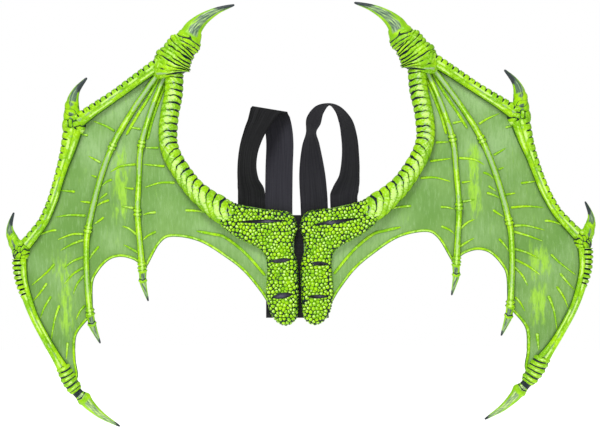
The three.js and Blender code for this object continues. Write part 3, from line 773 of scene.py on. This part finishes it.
def addKnuckle(bm, at, width, length, turn, rise, seed):
    # a lump split by deep cracks into a few swollen folds
    folds, flatDepth, crackDepth = 9, 2.6, 2.6
    ball = bmesh.ops.create_icosphere(bm, subdivisions=6, radius=1.0)["verts"]
    rng = np.random.default_rng(seed)
    seeds = kdtree.KDTree(folds)
    for number in range(folds):
        angle = number * 2.4 + rng.uniform(-0.7, 0.7)
        reach = 0.15 + 0.8 * math.sqrt((number + 0.5) / folds) + rng.uniform(-0.12, 0.12)
        seeds.insert((reach * math.cos(angle) * 0.8, reach * math.sin(angle), 0), number)
    seeds.balance()
    unit = np.array([v.co[:] for v in ball])
    bend = [wander(unit[:, 0] * 9, unit[:, 1] * 9, seed + k, 7) for k in (1, 2)]
    bent = unit[:, :2] + 0.1 * np.stack(bend, axis=1)
    found = [seeds.find_n((x, y, 0), 2) for x, y in bent.tolist()]
    gap = np.array([second[2] - first[2] for first, second in found])
    height = crackDepth * (smooth(gap, 0.0, 0.32) - 0.75) * smooth(unit[:, 2], 0.0, 0.3)
    normal = unit / np.array([width / 2, length / 2, rise])
    normal /= np.linalg.norm(normal, axis=1)[:, None]
    size = np.where(unit[:, 2:3] > 0, [[width / 2, length / 2, rise]], [[width / 2, length / 2, flatDepth]])
    place = unit * size + normal * height[:, None]
    x = at[0] + place[:, 0] * math.cos(turn) - place[:, 1] * math.sin(turn)
    y = at[1] + place[:, 0] * math.sin(turn) + place[:, 1] * math.cos(turn)
    for vert, where in zip(ball, np.stack([x, y, wings["limbBack"] + place[:, 2]], axis=1).tolist()):
        vert.co = where
    front = unit[:, 2] > 0.02
    patchy = 0.55 + 0.5 * smooth(wander(x, y, seed + 5, 14), -0.6, 0.5)
    # glow is a painted highlight on the swollen folds; tip is painted shade round the foot of the lump
    setMarks(bm, ball, {
        "groove": (1 - smooth(gap, 0.02, 0.15)) * front * patchy,
        "glow": smooth(gap, 0.2, 0.5) * smooth(wander(x, y, seed + 7, 11), -0.2, 0.7) * 0.9,
        "tip": (1 - smooth(np.abs(unit[:, 2]), 0.0, 0.2)) * 0.6,
    })


knuckles = {
    "knuckle_1": dict(at=(327.3, 208), width=34, length=38, turn=0.3, rise=16.5, seed=131),
    "knuckle_2": dict(at=(404.5, 24.5), width=26, length=33, turn=0.25, rise=14.5, seed=147),
}


def knobbly(outline, pitch, depth):
    # dents between the scales along an edge
    ahead, behind = np.roll(outline, -1, axis=0), np.roll(outline, 1, axis=0)
    along = (ahead - behind) / np.maximum(np.linalg.norm(ahead - behind, axis=1), 1e-6)[:, None]
    run = np.cumsum(np.linalg.norm(outline - behind, axis=1))
    ripple = math.pi * run / pitch + 1.2 * wander(outline[:, 0], outline[:, 1], 87, 17)
    dent = depth * (1 - np.abs(np.sin(ripple))) ** 1.5
    turn = np.sign(np.sum(outline[:, 0] * (ahead[:, 1] - behind[:, 1])))
    return outline + turn * dent[:, None] * np.column_stack([-along[:, 1], along[:, 0]])


plate = {
    "front": 13.0, "round": 6.0, "rim": 3.6, "armRise": 7.0, "lipSink": 1.2,
    "cell": 0.75, "scale": 5.7, "dome": 2.2, "jitter": 0.36, "seed": 8,
    "dentPitch": 5.4, "dentDepth": 1.7,
}
plateOutline = knobbly(outlineOf([[
    [119.5, 67], [121.5, 79], [117.5, 91], [109, 100.5], [98, 97], [85.2, 92.4], [63, 87.4], [40.7, 85],
    [19, 83], [9, 77.5], [4.4, 68.7], [2, 56.7], [5.8, 44.9], [8, 27.1], [3, 12], [0.7, -5.5], [0.5, -28],
    [0.5, -50], [2, -70], [8, -79.9], [19.9, -84.5], [31.9, -79.5], [41.5, -67],
    [46.5, -50], [48.3, -35.2], [47, -5.5], [48.4, 14], [56, 26], [70.4, 34],
    [92.7, 44.9], [108, 56], [119.5, 67],
]], 0.7), plate["dentPitch"], plate["dentDepth"])

slits = {  # where each starts and ends, and how far it gapes
    "left": {
        "top": ([89.5, 66.8], [18, 69], 4.4),
        "middle": ([40.5, 9.2], [11.2, 12.8], 5.6),
        "low": ([39.3, -42.4], [8.6, -37.6], 7.6),
    },
    "right": {
        "top": ([88.3, 69], [20.8, 61.5], 4.4),
        "middle": ([42, 4.2], [16.6, 6.6], 5.4),
        "low": ([40.4, -42.6], [9.5, -42], 4.6),
    },
}


def slitOutline(start, end, opening, inset=0.0):
    a, b = np.array(start, float), np.array(end, float)
    along = (b - a) / np.linalg.norm(b - a)
    upward = np.array([along[1], -along[0]])
    a, b = a + along * inset * 2.5, b - along * inset * 2.5
    t = np.linspace(0, 1, 40)[:-1, None]

    def arc(p, q, lip):
        return p * (1 - t) ** 2 + ((a + b) / 2 + upward * lip) * 2 * t * (1 - t) + q * t**2

    lip = opening - 2 * inset
    return np.concatenate([arc(a, b, lip), arc(b, a, -lip)])


def scaleSeeds(side):
    # shaken rows over the whole plate, one point for each scale
    rng = np.random.default_rng(plate["seed"] + (side == "right"))
    rows, columns = range(-22, 26), range(-4, 30)
    tree = kdtree.KDTree(len(rows) * len(columns))
    for number, (row, column) in enumerate((row, column) for row in rows for column in columns):
        x = column + 0.5 * (row % 2) + rng.uniform(-1, 1) * plate["jitter"]
        y = row * 0.87 + rng.uniform(-1, 1) * plate["jitter"]
        tree.insert((x * plate["scale"], y * plate["scale"], 0), number)
    tree.balance()
    return tree


def plateShape(side):
    seeds = scaleSeeds(side)
    mouths = [slitOutline(*slit) for slit in slits[side].values()]

    def shape(points, isFront):
        if not isFront:
            # the rear is given painted shade, which also darkens the walls up to the front
            return 0.15, {"groove": 0.0, "glow": 0.0, "tip": 0.5}
        rim, _ = reachTo(points, plateOutline, True)
        mouth = np.min([reachTo(points, line, True)[0] for line in mouths], axis=0)
        found = [seeds.find_n((x, y, 0), 2) for x, y in points.tolist()]
        gap = np.array([second[2] - first[2] for first, second in found])
        owner = np.array([first[1] for first, _ in found])
        near = np.array([first[2] for first, _ in found])
        lit = np.array([first[0][:2] for first, _ in found]) + [0.9 if side == "left" else -0.9, 0.9]
        roll = np.sqrt(np.clip(1 - (1 - np.clip(rim / plate["round"], 0, 1)) ** 2, 0, 1))
        swell = plate["armRise"] * smooth(points[:, 0], 62, 118)
        body = plate["rim"] + (plate["front"] - 0.6 - plate["rim"] + swell) * roll
        body = body - plate["lipSink"] * (1 - np.clip(mouth / 2.5, 0, 1)) ** 2
        pebble = np.sqrt(np.clip(1 - (near / (plate["scale"] * 0.62)) ** 2, 0, 1))
        body = body + plate["dome"] * (pebble * smooth(gap, 0.0, 1.3) - 0.35) * (0.4 + 0.6 * roll)
        # with both wings folded the plates turn towards each other, so they stay low by the middle
        away = np.abs(ontoWing(side, np.column_stack([points, np.zeros(len(points))]))[:, 0]) * 1000
        spare = wings["foldAcross"] + math.cos(wings["foldMost"]) * (away - wings["foldAcross"])
        spare = wings["foldOut"] + spare / math.sin(wings["foldMost"]) - 0.3
        body = np.minimum(body - 1.0 * (1 - smooth(away, 3, 14)), spare)
        edge = 1 - smooth(rim, 3, 12)
        upper = smooth(points[:, 1], 15, 60)
        patchy = smooth(wander(points[:, 0], points[:, 1], 19, 34), -0.7, 0.7)
        dark = np.clip(0.4 + 0.7 * edge + 0.2 * upper + 0.35 * patchy, 0, 1.5)
        # ink gathers in the corners where three scales meet
        spot = smooth(near, 0.3 * plate["scale"], 0.62 * plate["scale"])
        ink = (1 - smooth(gap, 0.1, 0.55 + 3.1 * dark * spot)) * np.sqrt(dark) * perItem(owner, 61, 0.7, 1.3)
        ink = np.maximum(ink, 0.9 * hump(rim, 1.1, 0.6) * perItem(owner, 63, 0.3, 1.1))
        # painted shade at the slit mouths, where they turn down into the slits
        ink = np.maximum(ink * smooth(rim, 0.0, 0.7), 0.9 * hump(mouth, 0, 0.7))
        moss = 0.9 * (1 - smooth(gap, 0.2, 1.9)) * perItem(owner, 65, 0.4, 1.2)
        shine = hump(np.linalg.norm(points - lit, axis=1), 0, 0.25 * plate["scale"])
        return body, {"groove": ink, "glow": shine * perItem(owner, 67, 0.3, 2.2), "tip": moss}

    return shape


skinRuns = {
    "plate": [[8.5, 76], [40.7, 83.5], [85.2, 91], [112, 88]],
    "arm": [[112, 88], [154.2, 116.6], [188, 168], [188.6, 227.5], [182.5, 278], [183, 300]],
    "top": [[183, 300], [204, 296.5], [267.9, 250.9], [324, 212]],
    "lead": [[324, 212], [339, 162.9], [356, 104], [384.5, 48.4], [402, 25]],
    "end": [[402, 25], [402.5, -13], [384, -69.8], [352, -130], [333, -168]],
    "outerScallop": [[333, -168], [324, -158], [327.5, -131.5], [326, -98], [309, -74], [302, -66]],
    "middleScallop": [[302, -66], [302.4, -24], [294.4, -4.5], [279.1, 12.2], [262.4, 18],
                      [245.7, 15.5], [233.2, 8.5], [228, -4]],
    "innerScallop": [[228, -4], [221.5, 6], [203.9, 37.2], [184.4, 47.4], [144, 40],
                     [103, 15.1], [77.8, -5.5], [55.6, -32.3], [44, -50]],
    "foot": [[44, -50], [36, -70], [20, -79], [9.5, -74]],
    "middle": [[9.5, -74], [7, 0], [8.5, 76]],
}
skinOutline = outlineOf(skinRuns.values(), 1.5)
skin = {
    "cell": 1.9,
    "wave": 0.1575,
    # across, up, width and height of the brushed lime patches
    "brushed": [(260, 147, 15, 34), (339, -56, 11, 36), (345, -2, 12, 26), (258, 96, 13, 26)],
}

veins = [
    [[300, 214], [282, 207], [268, 199]], [[319, 195], [307, 193]], [[247, 205], [230, 202]],
    [[225, 175], [204, 175]], [[228, 151], [195, 148]], [[225, 117], [202, 124], [180, 124]],
    [[275, 139], [260, 148], [237, 151]], [[255, 117], [240, 115]], [[259, 90], [240, 87]],
    [[307, 163], [288, 153]], [[303, 135], [294, 132]], [[319, 97], [303, 95]],
    [[348, 113], [326, 111]], [[355, 74], [333, 77], [310, 76]], [[352, 41], [330, 49], [313, 49]],
    [[348, 25], [330, 35], [313, 41]], [[342, 0], [329, 10], [313, 16]],
    [[342, -24], [329, -9], [313, 1]], [[329, -39], [323, -23], [312, -10]],
    [[325, -76], [319, -63], [311, -54]], [[391, 45], [377, 49], [362, 54], [353, 55]],
    [[390, -26], [368, -7], [356, 6]], [[388, -49], [377, -36], [367, -22]],
    [[377, -74], [371, -58], [361, -41]], [[361, -105], [356, -76], [349, -54]],
    [[339, -134], [337, -108]], [[300, 63], [292, 68], [284, 74]], [[306, 11], [301, 20], [291, 32]],
    [[288, 118], [281, 125], [272, 129]], [[291, 100], [279, 109]], [[295, 90], [287, 95], [276, 99]],
    [[258, 61], [247, 57], [236, 48]], [[256, 34], [246, 29], [234, 22]],
    [[228, 40], [220, 47], [208, 53]], [[228, 77], [218, 80], [208, 81]],
    [[128, 79], [147, 83], [166, 84]],
]
creases = [
    [[149.8, 53.8], [126.5, 49.5], [107.6, 44.4], [78.5, 21.8], [48.7, -11.6]],
    [[202, 281], [218, 250], [237, 219], [252, 193]],
    [[190, 279], [203, 246], [214, 214], [221, 186]],
]


def veinRelief(seed, strength=1.0, outer=0.0):
    def relief(s, side, width, length):
        # glow is a painted highlight along the top; rim is painted shade down both sides where the rib meets
        # the skin, heavier along one side when outer is given
        glow = 0.55 * hump(side, 0.0, 0.4) * smooth(wander(s, side * 2, seed, 20), -0.8, 0.6) * strength
        rim = 0.8 * hump(np.abs(side), 1.0, 0.2) + outer * hump(side, -1, 0.45)
        return {"glow": glow, "tip": rim}

    return relief


def skinShape(side):
    lines = []
    for name, look in limbs.items():
        if name != "upper_arm" and not look.get("claw"):
            _, at, _, wide = lineThrough(look["line"], 4)
            lines.append((at, wide, 1.0))
    _, at, _, wide = lineThrough(armLine, 4)
    lines.append((at, wide, 0.8))
    for vein in veins + creases:
        lines.append((np.array(vein, float), 3.0, 0.42))

    def shape(points, isFront):
        x, y = points[:, 0], points[:, 1]
        if not isFront:
            return 0.12, {"groove": 0.0, "glow": 0.25, "tone": 0.5}
        # painted shade beside the limbs, veins and creases, and faintly along the outline
        shade = np.zeros(len(points))
        for line, wide, strength in lines:
            away, _ = reachTo(points, line)
            half = np.mean(wide) / 2
            shade = np.maximum(shade, strength * (1 - smooth(away - half, 0.0, 3.0)))
        rim, _ = reachTo(points, skinOutline, True)
        shade = np.maximum(shade, 0.15 * (1 - smooth(rim, 2.0, 7.0)))
        root = 1 - smooth(np.hypot(x - 40, y + 10), 40, 120)
        fan = hump(np.hypot(x - 195, y - 285), 0, 60)  # paler where the fingers spring from
        tone = 0.3 * smooth(wander(x * 2.0, y * 0.5, 73, 60), -0.4, 0.6)
        for across, up, wide, tall in skin["brushed"]:
            tone = tone + hump(np.hypot((x - across) / wide, (y - up) / tall), 0, 1.0)
        tone = np.clip(tone, 0, 1)
        glow = 0.4 * root + 0.4 * fan + 0.5 * smooth(y, 90, 220) + 0.22 + 0.3 * wander(x, y, 77, 90)
        values = {"groove": shade * 0.45, "glow": np.clip(glow, 0, 1), "tone": tone}
        return wings["skin"] - 0.3 + skin["wave"] * wander(x, y, 71, 70), values

    return shape



def ownPiece(piece, body, slotName, *nodes):
    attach(piece, body)
    if nodes:
        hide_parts(*nodes)
    return piece


def makeWing(side):
    body = side + "_wing"
    holes = [slitOutline(*slit) for slit in slits[side].values()]

    def wingPiece(bm, name, finish, slotName, *nodes):
        piece = finishPiece(bm, side, side + "_" + name, finish)
        ownPiece(piece, body, slotName, *[side + "_" + node for node in nodes])

    for name, look in limbs.items():
        bm = newSculpt()
        options = {key: look[key] for key in ("spacing", "columns", "ends") if key in look}
        if "bone" in name:
            options["flatDepth"] = 2.45  # a little inside its neighbours, so their backs never coincide
        if look.get("claw"):
            options.update(back=wings["clawBack"], belly=0.12)
        addLimb(bm, look["line"], look["rise"], look["relief"], **options)
        finish, slotName = (clawFoam, "claw_foam") if look.get("claw") else (limbFoam, "limb_foam")
        wingPiece(bm, name + "_sculpt", finish, slotName, name)
    for name, look in knuckles.items():
        bm = newSculpt()
        addKnuckle(bm, **look)
        wingPiece(bm, name + "_sculpt", limbFoam, "limb_foam", name)
    bm = newSculpt()
    addSlab(bm, plateOutline, holes, plate["cell"], plateShape(side))
    wingPiece(bm, "scaled_plate", scaledFoam, "scaled_foam", "root_plate")
    bm = newSculpt()
    addSlab(bm, skinOutline, holes, skin["cell"], skinShape(side))
    wingPiece(bm, "wing_skin", skinFoam, "skin_foam", "skin")
    bm = newSculpt()
    veinLook = dict(rise=0.34, back=2.4, flatDepth=1.0, spacing=1.2, columns=14, ends=(8, 1))
    creaseLook = dict(rise=0.3, back=2.5, flatDepth=1.0, spacing=1.2, columns=14, ends=(6, 3))
    lipLook = dict(rise=0.45, back=1.8, flatDepth=1.6, spacing=1.0, columns=20)
    for number, vein in enumerate(veins):
        wide = [1.9] + [3.3] * (len(vein) - 2) + [4.4]  # from the fine end to the finger
        stations = [[x, y, w] for (x, y), w in zip(vein, wide)]
        addLimb(bm, stations, relief=veinRelief(100 + number), **veinLook)
    for number, crease in enumerate(creases):
        stations = [[x, y, 4.6] for x, y in crease]
        addLimb(bm, stations, relief=veinRelief(200 + number, 0.4), **creaseLook)
    for number, name in enumerate(("outerScallop", "middleScallop", "innerScallop")):
        stations = [[x, y, 4.4] for x, y in skinRuns[name]]
        addLimb(bm, stations, relief=veinRelief(300 + number, 1.2, 1.0), **lipLook)
    wingPiece(bm, "veins_and_lips", limbFoam, "limb_foam")
    print(side, "wing sculpted")


webbing = {"width": 40.0, "thickness": 1.6, "rows": 260, "columns": 33}
loopLevel = [1, 0, 0]
loops = {  # places along each loop, and which way its width lies there
    "left": [
        ([29.5, 56, -1.1], loopLevel), ([29.5, 86.3, -1.1], loopLevel), ([29.5, 100, -1.1], loopLevel),
        ([29, 145, -5], loopLevel), ([28, 182, -10], loopLevel), ([29.5, 200, -12], [1, 0.01, 0]),
        ([32.5, 213, -11.5], [1, 0.05, 0]), ([37, 224, -8], [1, 0.11, 0]),
        ([42.5, 231, -1], [0.985, 0.16, 0]), ([49, 228, 6.5], [0.97, 0.17, -0.05]),
        ([57, 212, 10], [0.88, 0.12, -0.45]), ([65.5, 195, 10], [0.76, 0.12, -0.62]),
        ([73, 172, 8], [0.7, 0.15, -0.7]), ([75.7, 148, 6], [0.7, 0.05, -0.7]),
        ([74, 128, 4], [0.78, -0.03, -0.6]), ([70, 114, 1], [0.95, -0.06, -0.25]),
        ([69.2, 103, -1.4], loopLevel), ([69.2, 95, -1.1], loopLevel), ([69.2, 86.3, -1.1], loopLevel),
        ([69.2, 56, -1.1], loopLevel),
    ],
    "right": [
        ([24.5, 56, -1.1], loopLevel), ([24.5, 86.3, -1.1], loopLevel), ([24.5, 98, -1.1], loopLevel),
        ([23.5, 130, -2], [0.97, 0, 0.25]), ([22.9, 156, -3], [0.83, 0, 0.56]),
        ([23, 180, -4], [0.6, 0, 0.8]), ([24.2, 197, -5], [0.35, -0.05, 0.94]),
        ([28.5, 214, -5], [0.48, -0.28, 0.83]),
        ([38, 230, -5], [0.25, -0.3, 0.92]), ([52, 237, -5], [0, -0.12, 1]),
        ([64, 230, -5], [-0.2, -0.2, 0.96]), ([75, 212, -5], [-0.5, -0.1, 0.86]),
        ([79.4, 190, -5], [-0.6, 0, 0.8]), ([80.5, 165, -4], [-0.63, 0, 0.77]),
        ([77.5, 132, -2], [-0.75, 0, 0.66]), ([71.5, 114, -1.4], [-0.92, 0, 0.35]),
        ([68.4, 103, -1.3], [-1, 0, 0.03]), ([68, 95, -1.1], [-1, 0, 0]), ([68, 86.3, -1.1], [-1, 0, 0]),
        ([68, 56, -1.1], [-1, 0, 0]),
    ],
}


def centripetal(knots, count):
    # a curve through points that doesn't overshoot where they lie close together
    knots = np.array(knots, float)
    last = len(knots) - 1
    padded = np.vstack([2 * knots[0] - knots[1], knots, 2 * knots[-1] - knots[-2]])
    made = []
    for at in np.linspace(0, last, count + 1):
        first = min(int(at), last - 1)
        p = padded[first:first + 4]
        d = [max(np.linalg.norm(p[k + 1] - p[k]), 0.0) ** 0.5 for k in range(3)]
        d[1] = d[1] if d[1] > 1e-4 else 1.0
        d[0] = d[0] if d[0] > 1e-4 else d[1]
        d[2] = d[2] if d[2] > 1e-4 else d[1]
        leaving = ((p[1] - p[0]) / d[0] - (p[2] - p[0]) / (d[0] + d[1]) + (p[2] - p[1]) / d[1]) * d[1]
        arriving = ((p[2] - p[1]) / d[1] - (p[3] - p[1]) / (d[1] + d[2]) + (p[3] - p[2]) / d[2]) * d[1]
        made.append(hermite(p[1], p[2], leaving, arriving, at - first))
    return np.array(made)


def closeEnds(bm):
    bmesh.ops.holes_fill(bm, edges=[e for e in bm.edges if e.is_boundary], sides=0)


def makeLoop(side):
    spots, wides = [centripetal(knots, webbing["rows"]) for knots in zip(*loops[side])]
    run = np.concatenate([[0], np.cumsum(np.linalg.norm(np.diff(spots, axis=0), axis=1))])
    tangent = np.gradient(spots, axis=0)
    tangent /= np.linalg.norm(tangent, axis=1)[:, None]
    wides /= np.linalg.norm(wides, axis=1)[:, None]
    squarely = wides - tangent * (wides * tangent).sum(axis=1)[:, None]
    kept = np.maximum(np.linalg.norm(squarely, axis=1), 0.75)
    wides = wides / kept[:, None]  # a slanted fold keeps its width
    through = np.cross(wides, tangent)
    through /= np.linalg.norm(through, axis=1)[:, None]
    half, thick = webbing["width"] / 2, webbing["thickness"] / 2
    face = np.linspace(-1, 1, webbing["columns"])
    flat = np.ones(webbing["columns"])
    over = np.concatenate([face, [1.0], face[::-1], [-1.0, -1.0]])
    lift = np.concatenate([flat, [0.0], -flat, [0.0, 1.0]])
    shrink = np.where(lift == 0, 1.0, 1 - 0.55 / half)  # the edges are a little rounded
    points = spots[:, None, :] + wides[:, None, :] * (over * half * shrink)[None, :, None]
    points = points + through[:, None, :] * (lift * thick)[None, :, None]
    bm = newSculpt()
    upright = 1 - smooth(run / run[-1], 0.36, 0.5)  # the run nearest the neck catches more light
    tone = 0.16 * upright[:, None] if side == "left" else 0.07
    addGrid(bm, points, {"along": run[:, None], "side": (over * half)[None, :], "tone": tone})
    closeEnds(bm)
    loop = finishPiece(bm, side, side + "_webbing_loop", elasticWebbing, 40)
    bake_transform(loop, side + "_wing", side + "_strap", start=(0, 0, 0.0845), end=(0, 0, 0.0915))
    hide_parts(side + "_shoulder_loop", side + "_inner_strap_end", side + "_outer_strap_end")
    print(side, "loop is", round(run[-1]), "mm long")


def tabShape(points, isFront):
    rise = 0.5 * wander(points[:, 0], points[:, 1] * 3, 83, 30)
    light = 0.55 + 0.4 * wander(points[:, 0], points[:, 1] * 3, 85, 24)
    values = {"along": points[:, 1], "side": points[:, 0], "tone": light}
    return rise + (10.6 if isFront else 9.0), values


def makeTabs(side):
    for name, slit in slits[side].items():
        bm = newSculpt()
        addSlab(bm, slitOutline(*slit, 0.1), [], 0.6, tabShape)
        tab = finishPiece(bm, side, side + "_" + name + "_webbing_tab", elasticWebbing, 40)
        ownPiece(tab, side + "_wing", "elastic_webbing", side + "_" + name + "_slit_tab")


tack = {
    "middle": {"left": 69.2, "right": 68.0},
    "wide": 29.0,
    "height": 62.0,
    "out": -2.35,
    "stitches": 26,
    "thread": 0.42,
    "tall": 2.9,
    "lean": 0.35,
}


def makeTack(side):
    # a zigzag row of short stitches across the foot of the loop
    bm = newSculpt()
    for number in range(tack["stitches"]):
        across = tack["middle"][side] + (number / (tack["stitches"] - 1) - 0.5) * tack["wide"]
        lean = tack["lean"] if number % 2 else -tack["lean"]
        for vert in bmesh.ops.create_icosphere(bm, subdivisions=2, radius=1.0)["verts"]:
            x, y, z = vert.co
            x, y, z = x * 1.5 * tack["thread"], y * tack["tall"] / 2, z * tack["thread"]
            vert.co = (across + x + lean * y, tack["height"] + y, tack["out"] + z)
    piece = finishPiece(bm, side, side + "_strap_stitches", stitching, 60)
    ownPiece(piece, side + "_wing", "stitching", side + "_strap_bar_tack")


panel = {
    "leftHalf": 48.0,
    "rightHalf": 43.5,
    "top": 77.0,
    "bottom": -73.0,
    "thickness": 1.5,
    "columns": 48,
    "rows": 150,
}


def makePanelHalf(side):
    # one half of the wide elastic behind the wings
    sign = -1 if side == "left" else 1
    columns, rows = panel["columns"], panel["rows"]
    face = np.linspace(0.0, 1.0, columns)
    over = np.concatenate([face, [1.0], face[::-1], [0.0]])
    lift = np.concatenate([np.ones(columns), [0.5], np.zeros(columns), [1.0]])
    wide = panel[side + "Half"]
    x = sign * over * wide * np.where(lift == 0.5, 1.0, 0.996)
    z = np.linspace(panel["bottom"], panel["top"], rows)
    points = np.empty((rows, len(over), 3))
    points[:, :, 0] = x
    points[:, :, 1] = -lift * panel["thickness"]
    points[:, :, 2] = z[:, None]
    bm = newSculpt()
    addGrid(bm, points * 0.001, {"along": x[None, :], "side": z[:, None], "tone": 0.05})
    closeEnds(bm)
    half = finishPiece(bm, None, side + "_panel_half", elasticWebbing, 40)
    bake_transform(half, "harness", side + "_wing", start=(sign * 0.002, 0, 0), end=(sign * 0.012, 0, 0))
    if side == "left":
        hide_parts("back_panel")


for side in ("left", "right"):
    makeWing(side)
    makeLoop(side)
    makeTabs(side)
    makeTack(side)
    makePanelHalf(side)
print("harness ready")

room = {
    "cameraAt": (0.0015, -2.434, 0.0727),
    "lens": 100.0,
    "lookAt": (0, 0, 0.07),
    "floorAt": -0.236,
    "floorSize": 1.6,
    "key": dict(at=(-0.35, -1.25, 1.65), size=0.7, power=33.0),
    "fill": dict(at=(1.4, -1.6, 0.5), size=1.4, power=4.0),
    "world": 0.44,
}


def stand(name, data, at, turned):
    made = bpy.data.objects.new(name, data)
    made.location, made.rotation_euler = at, turned
    bpy.context.scene.collection.objects.link(made)
    return made


def makeStudio():
    scene = bpy.context.scene
    scene.view_settings.view_transform = "Standard"
    camera = bpy.data.cameras.new("camera")
    camera.lens, camera.sensor_width = room["lens"], 36.0
    scene.camera = stand("camera", camera, room["cameraAt"], (math.pi / 2, 0, 0))
    for name in ("key", "fill"):
        look = room[name]
        light = bpy.data.lights.new(name, "AREA")
        light.shape, light.size, light.energy = "DISK", look["size"], look["power"]
        aim = Vector(room["lookAt"]) - Vector(look["at"])
        stand(name, light, look["at"], aim.to_track_quat("-Z", "Y").to_euler())
    world = bpy.data.worlds.new("studio")
    world.use_nodes = True
    scene.world = world
    tree = world.node_tree
    soft = tree.nodes["Background"]
    soft.inputs["Color"].default_value = (1, 1, 1, 1)
    soft.inputs["Strength"].default_value = room["world"]
    backdrop = tree.nodes.new("ShaderNodeBackground")
    backdrop.inputs["Color"].default_value = (1, 1, 1, 1)
    seen = tree.nodes.new("ShaderNodeLightPath")
    mixer = tree.nodes.new("ShaderNodeMixShader")
    tree.links.new(seen.outputs["Is Camera Ray"], mixer.inputs[0])
    tree.links.new(soft.outputs[0], mixer.inputs[1])
    tree.links.new(backdrop.outputs[0], mixer.inputs[2])
    tree.links.new(mixer.outputs[0], tree.nodes["World Output"].inputs[0])
    bm = bmesh.new()
    bmesh.ops.create_circle(bm, cap_ends=True, segments=96, radius=room["floorSize"])
    bmesh.ops.translate(bm, verts=bm.verts, vec=(0, 0, room["floorAt"]))
    mesh = bpy.data.meshes.new("floor")
    bm.to_mesh(mesh)
    bm.free()
    floor = stand("floor", mesh, (0, 0, 0), (0, 0, 0))
    pale = Finish("pale floor")
    pale.set(Base_Color=(0.93, 0.93, 0.93, 1), Roughness=0.9)
    pale.set(Emission_Color=(1, 1, 1, 1), Emission_Strength=0.72)
    mesh.materials.append(pale.material)


makeStudio()
